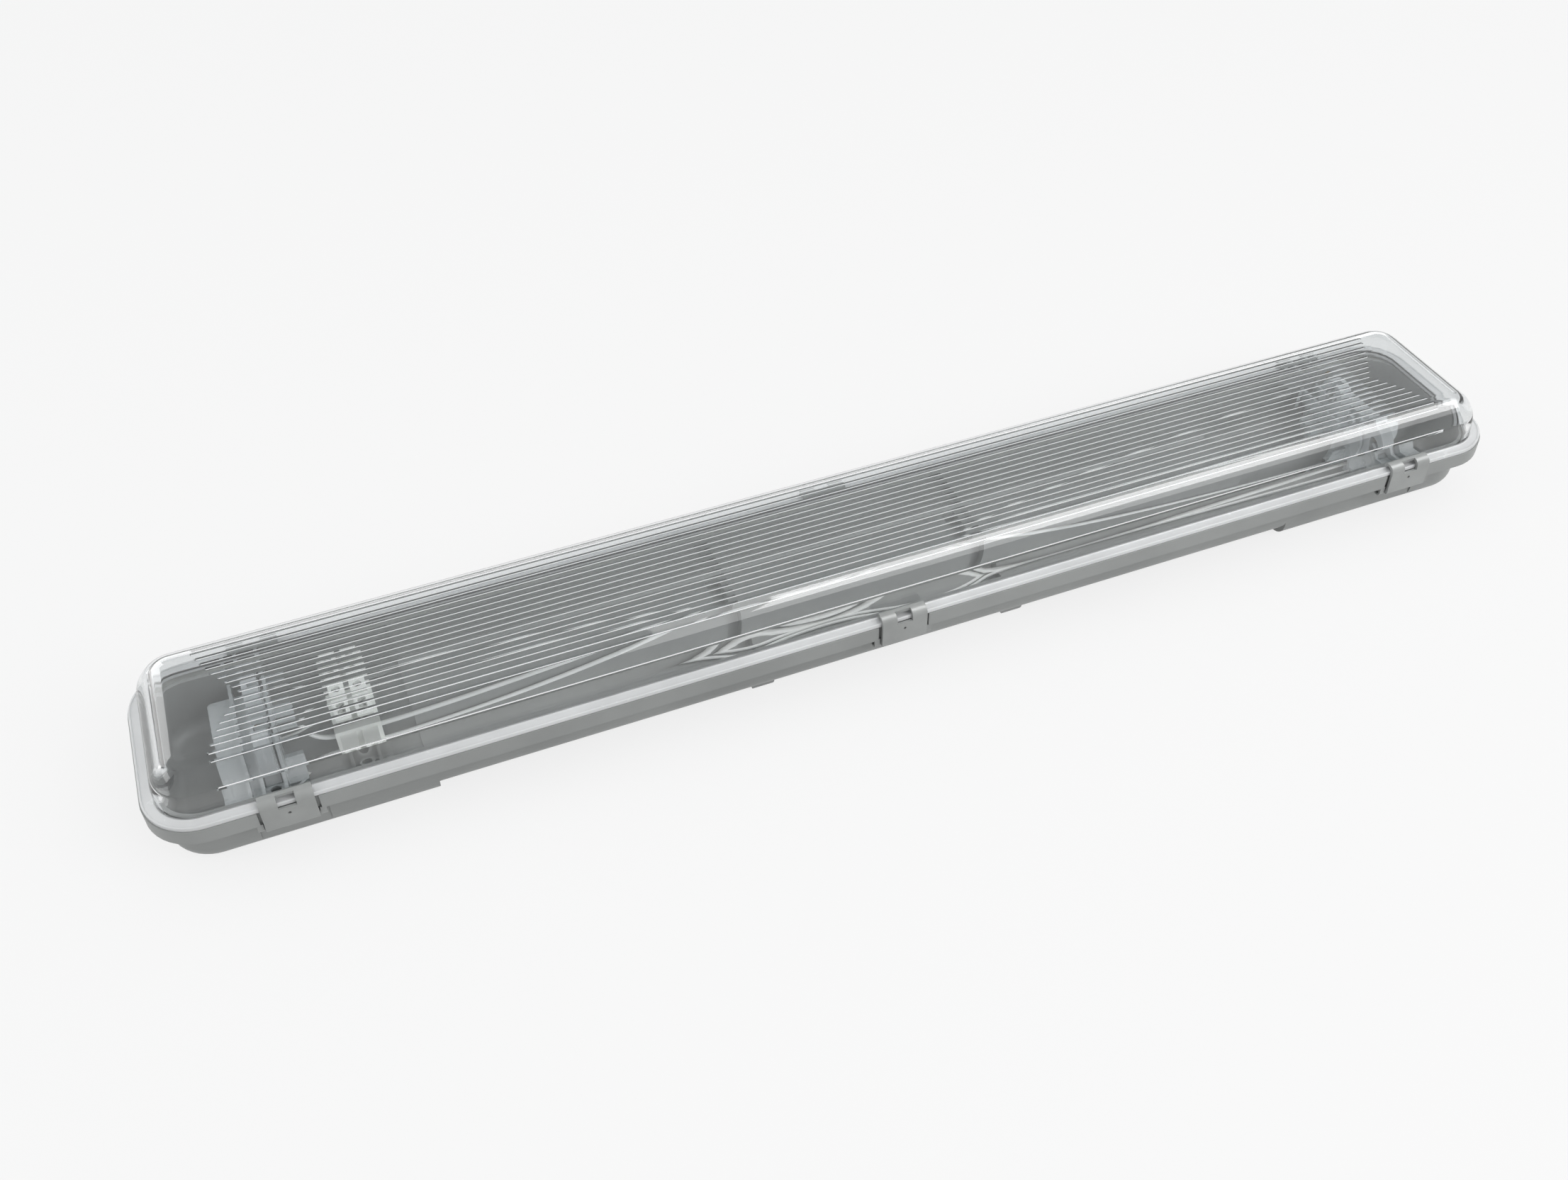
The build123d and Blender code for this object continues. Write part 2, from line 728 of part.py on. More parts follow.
for name, piece in pieces.items():
    piece.label = name
    export_step(piece, "parts/" + name + ".step")
    print(name, round(piece.volume, 1), len(piece.solids()))
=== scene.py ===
import bpy
import bmesh
import json
import math
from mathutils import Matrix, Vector

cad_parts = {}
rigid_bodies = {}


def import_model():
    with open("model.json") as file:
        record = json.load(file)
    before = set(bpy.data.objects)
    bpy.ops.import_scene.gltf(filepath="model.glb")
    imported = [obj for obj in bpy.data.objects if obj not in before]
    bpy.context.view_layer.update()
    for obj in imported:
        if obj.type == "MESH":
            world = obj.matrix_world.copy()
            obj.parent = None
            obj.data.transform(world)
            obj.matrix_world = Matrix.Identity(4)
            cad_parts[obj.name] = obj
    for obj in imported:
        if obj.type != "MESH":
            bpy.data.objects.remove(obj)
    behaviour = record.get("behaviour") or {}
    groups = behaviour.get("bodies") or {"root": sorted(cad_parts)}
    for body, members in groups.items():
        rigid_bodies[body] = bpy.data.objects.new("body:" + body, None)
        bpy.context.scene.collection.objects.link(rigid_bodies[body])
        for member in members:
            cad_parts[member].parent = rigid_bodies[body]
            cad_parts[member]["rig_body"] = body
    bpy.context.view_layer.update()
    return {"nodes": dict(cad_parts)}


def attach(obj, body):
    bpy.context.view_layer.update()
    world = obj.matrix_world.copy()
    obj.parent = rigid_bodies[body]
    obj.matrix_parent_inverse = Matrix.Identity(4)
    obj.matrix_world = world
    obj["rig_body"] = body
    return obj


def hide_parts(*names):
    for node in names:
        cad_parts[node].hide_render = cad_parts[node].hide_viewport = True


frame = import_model()
nodes = frame["nodes"]
mm = 0.001
print("frame loaded with", len(nodes), "pieces")


# written sRGB colour to the linear one that the shaders take
def toLinear(hexColour):
    parts = [int(hexColour[i:i + 2], 16) / 255 for i in (1, 3, 5)]
    return [c / 12.92 if c <= 0.04045 else ((c + 0.055) / 1.055) ** 2.4 for c in parts] + [1.0]


# one node with its settings, the values of its sockets and its links
def addNode(tree, kind, settings=None, values=None, links=None):
    node = tree.nodes.new(kind)
    for name, value in (settings or {}).items():
        setattr(node, name, value)
    for name, value in (values or {}).items():
        node.inputs[name].default_value = value
    for name, source in (links or {}).items():
        tree.links.new(source, node.inputs[name])
    return node


def newMaterial(name):
    material = bpy.data.materials.new(name)
    material.use_nodes = True
    material.node_tree.nodes.clear()
    return material, material.node_tree


# how all surfaces vary: the band of the noise that is used, its fineness, and the height of grain and pits
surfaceHabits = {"driftBand": (0.35, 0.65), "driftDetail": 3.0, "driftRoughness": 0.55,
                 "wearBand": (0.3, 0.7), "wearDetail": 5.0, "wearRoughness": 0.6,
                 "grainDetail": 2.0, "grainHeight": 0.25, "metalDrag": 8.0, "pitHeight": 0.3, "foamIor": 1.45}


# colour that drifts between two shades over a few centimetres
def driftingColour(tree, place, shades, patch):
    drift = addNode(tree, "ShaderNodeTexNoise",
                    values={"Scale": 1 / patch, "Detail": surfaceHabits["driftDetail"],
                            "Roughness": surfaceHabits["driftRoughness"]},
                    links={"Vector": place})
    ramp = addNode(tree, "ShaderNodeValToRGB", links={"Fac": drift.outputs["Fac"]})
    for element, position, shade in zip(ramp.color_ramp.elements, surfaceHabits["driftBand"], shades):
        element.position = position
        element.color = toLinear(shade)
    return ramp.outputs["Color"]


# Moulded plastics of the fitting differ in shade, gloss and grain size
def mouldedPlastic(name, look):
    material, tree = newMaterial(name)
    place = addNode(tree, "ShaderNodeTexCoord").outputs["Object"]
    colour = driftingColour(tree, place, look["shades"], look["patch"])
    grain = addNode(tree, "ShaderNodeTexNoise",
                    values={"Scale": 1 / look["grain"], "Detail": surfaceHabits["grainDetail"]},
                    links={"Vector": place})
    wear = addNode(tree, "ShaderNodeTexNoise",
                   values={"Scale": 1 / look["wearPatch"], "Detail": surfaceHabits["wearDetail"],
                           "Roughness": surfaceHabits["wearRoughness"]},
                   links={"Vector": place})
    low, high = surfaceHabits["wearBand"]
    rough = addNode(tree, "ShaderNodeMapRange",
                    values={"From Min": low, "From Max": high, "To Min": look["gloss"][0],
                            "To Max": look["gloss"][1]},
                    links={"Value": wear.outputs["Fac"]})
    bump = addNode(tree, "ShaderNodeBump",
                   values={"Strength": look["bump"], "Distance": look["grain"] * surfaceHabits["grainHeight"]},
                   links={"Height": grain.outputs["Fac"]})
    shader = addNode(tree, "ShaderNodeBsdfPrincipled", values={"IOR": look["ior"]},
                     links={"Base Color": colour, "Roughness": rough.outputs["Result"],
                            "Normal": bump.outputs["Normal"]})
    addNode(tree, "ShaderNodeOutputMaterial", links={"Surface": shader.outputs["BSDF"]})
    return material


# Clear polycarbonate: polished skin with a slow moulding ripple. The top is tinted darker than the walls,
# painted shade over the inside seen through it. Shadow rays pass straight, so the inside stays light
def clearPolycarbonate(look):
    material, tree = newMaterial("clearPolycarbonate")
    place = addNode(tree, "ShaderNodeTexCoord").outputs["Object"]
    stretch = addNode(tree, "ShaderNodeMapping", values={"Scale": (look["rippleDrag"], 1.0, 1.0)},
                      links={"Vector": place})
    ripple = addNode(tree, "ShaderNodeTexNoise",
                     values={"Scale": 1 / look["ripple"], "Detail": look["rippleDetail"]},
                     links={"Vector": stretch.outputs["Vector"]})
    bump = addNode(tree, "ShaderNodeBump",
                   values={"Strength": look["rippleStrength"], "Distance": look["rippleHeight"]},
                   links={"Height": ripple.outputs["Fac"]})
    haze = addNode(tree, "ShaderNodeTexNoise",
                   values={"Scale": 1 / look["hazePatch"], "Detail": look["hazeDetail"]},
                   links={"Vector": place})
    low, high = look["hazeBand"]
    rough = addNode(tree, "ShaderNodeMapRange",
                    values={"From Min": low, "From Max": high, "To Min": look["gloss"][0],
                            "To Max": look["gloss"][1]},
                    links={"Value": haze.outputs["Fac"]})
    # between tintFrom and tintTo the colour turns to the darker top tint: painted shade over the inside seen
    # through the top
    height = addNode(tree, "ShaderNodeSeparateXYZ", links={"Vector": place})
    upper = addNode(tree, "ShaderNodeMapRange",
                    values={"From Min": look["tintFrom"], "From Max": look["tintTo"]},
                    links={"Value": height.outputs["Z"]})
    tint = addNode(tree, "ShaderNodeMix", {"data_type": "RGBA"},
                   {6: toLinear(look["wallTint"]), 7: toLinear(look["topShadeTint"])},
                   {"Factor": upper.outputs["Result"]})
    shader = addNode(tree, "ShaderNodeBsdfPrincipled", values={"Transmission Weight": 1.0, "IOR": look["ior"]},
                     links={"Base Color": tint.outputs[2], "Roughness": rough.outputs["Result"],
                            "Normal": bump.outputs["Normal"]})
    through = addNode(tree, "ShaderNodeBsdfTransparent", values={"Color": toLinear(look["shadowTint"])})
    path = addNode(tree, "ShaderNodeLightPath")
    mix = addNode(tree, "ShaderNodeMixShader",
                  links={0: path.outputs["Is Shadow Ray"], 1: shader.outputs["BSDF"],
                         2: through.outputs["BSDF"]})
    addNode(tree, "ShaderNodeOutputMaterial", links={"Surface": mix.outputs["Shader"]})
    return material


# Metal with a drifting shade and fine drag lines along its length
def plainMetal(name, look):
    material, tree = newMaterial(name)
    place = addNode(tree, "ShaderNodeTexCoord").outputs["Object"]
    colour = driftingColour(tree, place, look["shades"], look["patch"])
    lines = addNode(tree, "ShaderNodeMapping", values={"Scale": (1.0, surfaceHabits["metalDrag"], 1.0)},
                    links={"Vector": place})
    grain = addNode(tree, "ShaderNodeTexNoise",
                    values={"Scale": 1 / look["grain"], "Detail": surfaceHabits["grainDetail"]},
                    links={"Vector": lines.outputs["Vector"]})
    rough = addNode(tree, "ShaderNodeMapRange", values={"To Min": look["gloss"][0], "To Max": look["gloss"][1]},
                    links={"Value": grain.outputs["Fac"]})
    shader = addNode(tree, "ShaderNodeBsdfPrincipled", values={"Metallic": 1.0},
                     links={"Base Color": colour, "Roughness": rough.outputs["Result"]})
    addNode(tree, "ShaderNodeOutputMaterial", links={"Surface": shader.outputs["BSDF"]})
    return material


# Foam and rubber: dull, with small cells that show as pits
def foamRubber(name, look):
    material, tree = newMaterial(name)
    place = addNode(tree, "ShaderNodeTexCoord").outputs["Object"]
    colour = driftingColour(tree, place, look["shades"], look["patch"])
    cells = addNode(tree, "ShaderNodeTexVoronoi", values={"Scale": 1 / look["cell"]}, links={"Vector": place})
    bump = addNode(tree, "ShaderNodeBump",
                   values={"Strength": look["bump"], "Distance": look["cell"] * surfaceHabits["pitHeight"]},
                   links={"Height": cells.outputs["Distance"]})
    shader = addNode(tree, "ShaderNodeBsdfPrincipled",
                     values={"Roughness": look["roughness"], "IOR": surfaceHabits["foamIor"]},
                     links={"Base Color": colour, "Normal": bump.outputs["Normal"]})
    addNode(tree, "ShaderNodeOutputMaterial", links={"Surface": shader.outputs["BSDF"]})
    return material


# grey polycarbonate moulded in a satin tool: soft wide highlights, 0.4 mm grain
trayLook = {"shades": ("#868887", "#919392"), "patch": 60 * mm, "grain": 0.4 * mm, "wearPatch": 12 * mm,
            "gloss": (0.34, 0.46), "bump": 0.12, "ior": 1.55}
# the clips come from another tool: a touch lighter and slicker than the tray
clipLook = {"shades": ("#8b8d8c", "#969897"), "patch": 20 * mm, "grain": 0.5 * mm, "wearPatch": 6 * mm,
            "gloss": (0.30, 0.42), "bump": 0.14, "ior": 1.55}
# pale bluish polycarbonate of the carriers: almost glossy, so their ribs catch thin lights
carrierLook = {"shades": ("#abb0b2", "#b9bdbf"), "patch": 25 * mm, "grain": 0.6 * mm, "wearPatch": 8 * mm,
               "gloss": (0.22, 0.34), "bump": 0.06, "ior": 1.55}
# light thermoset of the lampholders: smooth, with small crisp highlights
holderLook = {"shades": ("#b2b6b9", "#bdc1c3"), "patch": 10 * mm, "grain": 0.5 * mm, "wearPatch": 4 * mm,
              "gloss": (0.2, 0.3), "bump": 0.05, "ior": 1.5}
# bright white polyamide of the terminal block: faintly waxy
terminalLook = {"shades": ("#f3f5f1", "#fafbf8"), "patch": 8 * mm, "grain": 0.5 * mm, "wearPatch": 3 * mm,
                "gloss": (0.28, 0.4), "bump": 0.05, "ior": 1.53}
# soft vinyl wire covering: white and slightly glossy
wireLook = {"shades": ("#f4f6f4", "#fcfcfb"), "patch": 15 * mm, "grain": 0.8 * mm, "wearPatch": 5 * mm,
            "gloss": (0.25, 0.38), "bump": 0.05, "ior": 1.52}
# foot of the clear cover painted opaque light grey: painted light and highlight for the brightness that shows
# through the clear foot, with a little shine on its bead
flangeLook = {"shades": ("#cccdce", "#d6d7d8"), "patch": 40 * mm, "grain": 0.5 * mm, "wearPatch": 10 * mm,
              "gloss": (0.18, 0.28), "bump": 0.05, "ior": 1.58}
# polished clear polycarbonate: sharp mirror lights; the top has a darker neutral tint, painted shade over the
# inside seen through it, and the walls almost none
coverLook = {"wallTint": "#f9fafa", "topShadeTint": "#ebedee", "tintFrom": 42 * mm, "tintTo": 51 * mm,
             "shadowTint": "#f0f1f1", "ior": 1.58, "ripple": 22 * mm, "rippleDetail": 1.0, "rippleDrag": 0.25,
             "rippleHeight": 0.4 * mm, "rippleStrength": 0.02, "hazePatch": 30 * mm, "hazeDetail": 4.0,
             "hazeBand": (0.35, 0.75), "gloss": (0.015, 0.05)}
# folded brass of the cages and contact springs: warm yellow with drag lines
brassLook = {"shades": ("#c8a050", "#d9b566"), "patch": 4 * mm, "grain": 0.3 * mm, "gloss": (0.2, 0.38)}
# zinc plating of the screws: pale and bright
zincLook = {"shades": ("#b9bab8", "#cfd0ce"), "patch": 4 * mm, "grain": 0.3 * mm, "gloss": (0.25, 0.4)}
# foamed seal: dull light grey with visible cells
foamLook = {"shades": ("#c3c6c2", "#d0d2ce"), "patch": 12 * mm, "cell": 0.7 * mm, "bump": 0.5,
            "roughness": 0.85}
# soft rubber of the cable plug: dark and matt
plugLook = {"shades": ("#4b4c4d", "#565859"), "patch": 8 * mm, "cell": 1.2 * mm, "bump": 0.08,
            "roughness": 0.55}

trayPlastic = mouldedPlastic("greyPolycarbonate", trayLook)
clipPlastic = mouldedPlastic("greyClipPolycarbonate", clipLook)
carrierPlastic = mouldedPlastic("palePolycarbonate", carrierLook)
holderPlastic = mouldedPlastic("paleThermoset", holderLook)
terminalPlastic = mouldedPlastic("whitePolyamide", terminalLook)
wireVinyl = mouldedPlastic("whiteWireVinyl", wireLook)
clearPlastic = clearPolycarbonate(coverLook)
# the clear foot gets an opaque light grey material: painted light for what shows through it
flangePlastic = mouldedPlastic("flangePaintedLight", flangeLook)
brass = plainMetal("brass", brassLook)
zincSteel = plainMetal("zincPlatedSteel", zincLook)
sealFoam = foamRubber("closedCellFoam", foamLook)
plugRubber = foamRubber("softPlugRubber", plugLook)
print("materials made:", len(bpy.data.materials))


# a mesh as an object of the scene that moves with a body and has the given material in its one slot
def newObject(name, mesh, material, body):
    piece = bpy.data.objects.new(name, mesh)
    bpy.context.scene.collection.objects.link(piece)
    mesh.materials.clear()
    mesh.materials.append(material)
    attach(piece, body)
    return piece


# Merging gap in millimetres, and angles in degrees: flatter than flatAngle is one face, sharper than
# sharpAngle is an edge
dressing = {"mergeGap": 0.002, "flatAngle": 0.4, "sharpAngle": 32.0, "edgeSegments": 2}


# A rigid piece keeps its solid's shape and gets the small edge rounding of a moulding
def dressPiece(node, material, edge):
    sharp = math.radians(dressing["sharpAngle"])
    mesh = nodes[node].data.copy()
    shape = bmesh.new()
    shape.from_mesh(mesh)
    bmesh.ops.remove_doubles(shape, verts=shape.verts, dist=dressing["mergeGap"] * mm)
    bmesh.ops.dissolve_limit(shape, angle_limit=math.radians(dressing["flatAngle"]), verts=shape.verts,
                             edges=shape.edges)
    shape.to_mesh(mesh)
    shape.free()
    for attribute in [a.name for a in mesh.attributes if a.name in ("custom_normal", "sharp_edge")]:
        mesh.attributes.remove(mesh.attributes[attribute])
    mesh.shade_smooth()
    mesh.set_sharp_from_angle(angle=sharp)
    piece = newObject(node + "_moulded", mesh, material, nodes[node]["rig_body"])
    if edge:
        bevel = piece.modifiers.new("edge", "BEVEL")
        bevel.width = edge
        bevel.segments = dressing["edgeSegments"]
        bevel.limit_method = "ANGLE"
        bevel.angle_limit = sharp
        bevel.harden_normals = True
    normals = piece.modifiers.new("normals", "WEIGHTED_NORMAL")
    normals.keep_sharp = True
    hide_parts(node)


# Clear cover, in millimetres and degrees. Heights and half widths follow the solid model
coverSizes = {
    "halfWidth": 43.45, "wall": 1.8, "base": 32.5, "top": 54.0, "shoulder": 15.6, "draft": 3.2,
    "cornerSteps": 12, "shoulderSteps": 14, "lengthLines": (-200.0, -60.0, 60.0, 200.0), "sharpAngle": 24.0,
    "pitch": 3.7, "ridgeWidth": 1.4, "depth": 0.5, "flatRidges": 15, "sideCrests": (8, 9, 12), "topEdge": 0.25,
    "endMiddle": 281.0, "endHalf": 291.0, "endSide": 297.0, "halfY": 15.0, "sideY": 29.0, "fade": 0.8,
    "crestSlack": 0.01, "endSlack": 0.05, "flangeTop": 33.05}
# families of outlines: half length less half width, and half width less corner radius
outlineFamilies = {"cover": (280.55, 26.15), "rim": (281.0, 25.0)}
# half width, height and family of every outline below the wall: fillet, foot, bead, rim, seal tongue, inside
coverProfile = [
    (43.47, 33.4, "cover"), (43.6, 32.95, "cover"), (43.85, 32.65, "cover"), (44.3, 32.5, "cover"),
    (47.1, 32.5, "rim"), (47.35, 32.58, "rim"), (47.45, 32.85, "rim"), (47.6, 32.98, "rim"),
    (47.9, 33.0, "rim"), (48.2, 32.96, "rim"), (48.38, 32.8, "rim"), (48.4, 32.5, "rim"),
    (48.4, 31.1, "rim"), (48.3, 31.0, "rim"), (45.4, 31.0, "rim"), (45.4, 28.75, "rim"),
    (45.25, 28.6, "rim"), (44.35, 28.6, "rim"), (44.2, 28.75, "rim"), (44.2, 31.0, "rim"),
    (41.75, 31.0, "cover"), (41.65, 31.1, "cover"), (41.65, 32.5, "cover")]


# where a ridge at width y stops: a shallow V over the middle, straight at the sides
def ridgeEnd(y):
    s = coverSizes
    y = abs(y)
    if y < s["halfY"]:
        return s["endMiddle"] + (s["endHalf"] - s["endMiddle"]) * y / s["halfY"]
    if y < s["sideY"]:
        return s["endHalf"] + (s["endSide"] - s["endHalf"]) * (y - s["halfY"]) / (s["sideY"] - s["halfY"])
    return s["endSide"]


# stations along one straight side, with two that follow the slanted end of the ridges
def lengthStations(y, straight):
    end = ridgeEnd(y)
    inner = list(coverSizes["lengthLines"])
    return [-straight, -end - coverSizes["fade"], -end] + inner + [end, end + coverSizes["fade"], straight]


# foot, crest and foot of every ridge across the flat top, and one line beyond the last foot
def widthStations():
    count = coverSizes["flatRidges"]
    half = coverSizes["ridgeWidth"] / 2
    crests = [(i - (count - 1) / 2) * coverSizes["pitch"] for i in range(count)]
    edge = crests[-1] + half + coverSizes["topEdge"]
    return [-edge] + [crest + step for crest in crests for step in (-half, 0.0, half)] + [edge]


# 1 on the crest of a ridge and 0 elsewhere; along is the way over the flat top and down the shoulder
def ridgeRise(x, y, along):
    share = along / coverSizes["pitch"]
    crest = abs(share - round(share)) < coverSizes["crestSlack"]
    return 1.0 if crest and abs(x) < ridgeEnd(y) + coverSizes["endSlack"] else 0.0


# one closed shell: outer top and shoulder, wall, foot, inner wall, shoulder with ridge lines, inner top
def buildCover():
    s = coverSizes
    slope = math.radians(s["draft"])
    centreZ = s["top"] - s["shoulder"]
    centreY = s["halfWidth"] - math.tan(slope) * (centreZ - s["base"]) - s["shoulder"] / math.cos(slope)
    shape = bmesh.new()
    layer = shape.verts.layers.float_vector.new("ridgeShift")

    def outlineLoop(half, z, family, lean=None, along=None):
        gain, loss = outlineFamilies[family]
        corner = half - loss
        straightX = half + gain - corner
        straightY = half - corner
        xs, stations = lengthStations(half, straightX), widthStations()
        ys = [y * straightY / stations[-1] for y in stations]  # squeezed into the straight part of the end
        turns = [math.pi / 2 * i / s["cornerSteps"] for i in range(1, s["cornerSteps"])]
        spots = [(x, -half, "side") for x in xs]
        spots += [(straightX + corner * math.sin(t), -straightY - corner * math.cos(t), "") for t in turns]
        spots += [(half + gain, y, "") for y in ys]
        spots += [(straightX + corner * math.cos(t), straightY + corner * math.sin(t), "") for t in turns]
        spots += [(x, half, "side") for x in reversed(xs)]
        spots += [(-straightX - corner * math.sin(t), straightY + corner * math.cos(t), "") for t in turns]
        spots += [(-half - gain, y, "") for y in reversed(ys)]
        spots += [(-straightX - corner * math.cos(t), -straightY - corner * math.sin(t), "") for t in turns]
        row = []
        for x, y, kind in spots:
            vertex = shape.verts.new((x * mm, y * mm, z * mm))
            if lean is not None and kind:
                inward = Vector((0, -math.copysign(math.sin(lean), y), -math.cos(lean)))
                vertex[layer] = inward * ridgeRise(x, y, along)
            row.append(vertex)
        return row

    def joinLoops(first, second):
        for i in range(len(first)):
            j = (i + 1) % len(first)
            shape.faces.new((first[i], first[j], second[j], second[i]))

    # flat top inside the last loop: a grid on the same stations, closed to the loop all round
    def closeTop(row, half, z, ridged, flip):
        gain, loss = outlineFamilies["cover"]
        corner = half - loss
        straightX = half + gain - corner
        ys = widthStations()
        grid = []
        for y in ys:
            line = []
            for x in lengthStations(y, straightX):
                vertex = shape.verts.new((x * mm, y * mm, z * mm))
                if ridged:
                    vertex[layer] = Vector((0, 0, -1)) * ridgeRise(x, y, abs(y))
                line.append(vertex)
            grid.append(line)
        nx, ny, nc = len(grid[0]), len(ys), s["cornerSteps"] - 1
        front = row[0:nx]
        right = row[nx + nc:nx + nc + ny]
        back = row[nx + nc + ny + nc:nx + nc + ny + nc + nx][::-1]
        left = row[2 * nx + ny + 3 * nc:2 * nx + 2 * ny + 3 * nc][::-1]
        cornerRight = row[nx - 1:nx + nc + 1]
        cornerBackRight = row[nx + nc + ny - 1:nx + nc + ny + nc + 1]
        cornerBackLeft = row[2 * nx + ny + 2 * nc - 1:2 * nx + ny + 3 * nc + 1]
        cornerLeft = row[2 * nx + 2 * ny + 3 * nc - 1:] + [row[0]]
        faces = []
        for j in range(ny - 1):
            for i in range(nx - 1):
                faces.append((grid[j][i], grid[j][i + 1], grid[j + 1][i + 1], grid[j + 1][i]))
        for i in range(nx - 1):
            faces.append((front[i], front[i + 1], grid[0][i + 1], grid[0][i]))
            faces.append((grid[-1][i], grid[-1][i + 1], back[i + 1], back[i]))
        for j in range(ny - 1):
            faces.append((grid[j][-1], right[j], right[j + 1], grid[j + 1][-1]))
            faces.append((left[j], grid[j][0], grid[j + 1][0], left[j + 1]))
        for arc, point in ((cornerRight, grid[0][-1]), (cornerBackRight, grid[-1][-1]),
                           (cornerBackLeft, grid[-1][0]), (cornerLeft, grid[0][0])):
            faces.append(tuple(arc) + (point,))
        for face in faces:
            shape.faces.new(face[::-1] if flip else face)

    loops = []
    steps = s["shoulderSteps"]
    lastTurn = 90.0 - s["draft"]
    for i in range(steps + 1):
        turn = math.radians(lastTurn * i / steps)
        loops.append(outlineLoop(centreY + s["shoulder"] * math.sin(turn),
                                 centreZ + s["shoulder"] * math.cos(turn), "cover"))
    for half, z, family in coverProfile:
        loops.append(outlineLoop(half, z, family))
    radius = s["shoulder"] - s["wall"]
    crests = [number * s["pitch"] for number in s["sideCrests"]]
    foot = s["ridgeWidth"] / 2
    marks = [crest + step for crest in reversed(crests) for step in (foot, 0.0, -foot)]
    turns = [math.radians(lastTurn)] + [(mark - centreY) / radius for mark in marks] + [0.0]
    for turn in turns:
        loops.append(outlineLoop(centreY + radius * math.sin(turn), centreZ + radius * math.cos(turn), "cover",
                                 lean=turn, along=centreY + radius * turn))
    for above, below in zip(loops, loops[1:]):
        joinLoops(above, below)
    closeTop(loops[0], centreY, s["top"], False, False)
    closeTop(loops[-1], centreY, s["top"] - s["wall"], True, True)
    bmesh.ops.recalc_face_normals(shape, faces=shape.faces)
    if shape.calc_volume(signed=True) < 0:
        bmesh.ops.reverse_faces(shape, faces=shape.faces)
    mesh = bpy.data.meshes.new("coverShell")
    shape.to_mesh(mesh)
    shape.free()
    return mesh


# Geometry Nodes press the ridge crests inwards by the ridge depth
def ridgeTree():
    tree = bpy.data.node_groups.new("coverRidges", "GeometryNodeTree")
    tree.interface.new_socket("Geometry", in_out="INPUT", socket_type="NodeSocketGeometry")
    tree.interface.new_socket("Ridge depth", in_out="INPUT", socket_type="NodeSocketFloat")
    tree.interface.new_socket("Plastic", in_out="INPUT", socket_type="NodeSocketMaterial")
    tree.interface.new_socket("Geometry", in_out="OUTPUT", socket_type="NodeSocketGeometry")
    given = addNode(tree, "NodeGroupInput")
    way = addNode(tree, "GeometryNodeInputNamedAttribute", {"data_type": "FLOAT_VECTOR"},
                  {"Name": "ridgeShift"})
    push = addNode(tree, "ShaderNodeVectorMath", {"operation": "SCALE"},
                   links={0: way.outputs["Attribute"], "Scale": given.outputs["Ridge depth"]})
    moved = addNode(tree, "GeometryNodeSetPosition",
                    links={"Geometry": given.outputs["Geometry"], "Offset": push.outputs["Vector"]})
    real = addNode(tree, "GeometryNodeRealizeInstances", links={"Geometry": moved.outputs["Geometry"]})
    dressed = addNode(tree, "GeometryNodeSetMaterial",
                      links={"Geometry": real.outputs["Geometry"], "Material": given.outputs["Plastic"]})
    addNode(tree, "NodeGroupOutput", links={"Geometry": dressed.outputs["Geometry"]})
    return tree


# runs a tree on a piece with the given inputs and returns the plain mesh
def bakeTree(tree, mesh, inputs):
    carrier = bpy.data.objects.new("treeCarrier", mesh)
    bpy.context.scene.collection.objects.link(carrier)
    modifier = carrier.modifiers.new("tree", "NODES")
    modifier.node_group = tree
    for item in tree.interface.items_tree:
        if item.in_out == "INPUT" and item.name in inputs:
            modifier[item.identifier] = inputs[item.name]
    depsgraph = bpy.context.evaluated_depsgraph_get()
    result = bpy.data.meshes.new_from_object(carrier.evaluated_get(depsgraph))
    carrier.modifiers.remove(modifier)
    bpy.data.objects.remove(carrier)
    return result


coverInputs = {"Ridge depth": coverSizes["depth"] * mm, "Plastic": clearPlastic}
coverMesh = bakeTree(ridgeTree(), buildCover(), coverInputs)
coverMesh.shade_smooth()
coverMesh.set_sharp_from_angle(angle=math.radians(coverSizes["sharpAngle"]))
cover = newObject("clearCover", coverMesh, clearPlastic, "housing")
# the large faces rule the normals, so the plane walls don't distort what is seen through them
flatWalls = cover.modifiers.new("flatWalls", "WEIGHTED_NORMAL")
flatWalls.keep_sharp = True
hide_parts("diffuser")
# all below the fillet has the light grey of the flange, painted opaque: painted light for the light that passes
# through the clear foot
coverMesh.materials.append(flangePlastic)
for polygon in coverMesh.polygons:
    if polygon.center.z < coverSizes["flangeTop"] * mm:
        polygon.material_index = 1
print("cover built with", len(coverMesh.polygons), "faces")

# Rigid pieces with their material, material slot of the record and edge rounding
edgeRounding = {"tray": 0.25 * mm, "carrier": 0.2 * mm, "terminal": 0.25 * mm, "seal": 0.4 * mm, "plug": 0.2 * mm,
                "holder": 0.25 * mm, "contact": 0.05 * mm, "clip": 0.2 * mm}
for node, material, slot, edge in (
        ("base_tray", trayPlastic, "tray_plastic", edgeRounding["tray"]),
        ("carrier_left", carrierPlastic, "carrier_plastic", edgeRounding["carrier"]),
        ("carrier_right", carrierPlastic, "carrier_plastic", edgeRounding["carrier"]),
        ("terminal_block", terminalPlastic, "terminal_plastic", edgeRounding["terminal"]),
        ("terminal_inserts", brass, "contact_metal", 0.0),
        ("gasket", sealFoam, "seal_foam", edgeRounding["seal"]),
        ("cable_plug", plugRubber, "plug_rubber", edgeRounding["plug"])):
    dressPiece(node, material, edge)
for end in ("left", "right"):
    for side in ("front", "back"):
        dressPiece("lampholder_" + end + "_" + side, holderPlastic, edgeRounding["holder"])
        dressPiece("contacts_" + end + "_" + side, brass, edgeRounding["contact"])
for side in ("front", "back"):
    for place in ("left", "middle", "right"):
        dressPiece("clip_" + side + "_" + place, clipPlastic, edgeRounding["clip"])
print("rigid pieces dressed")

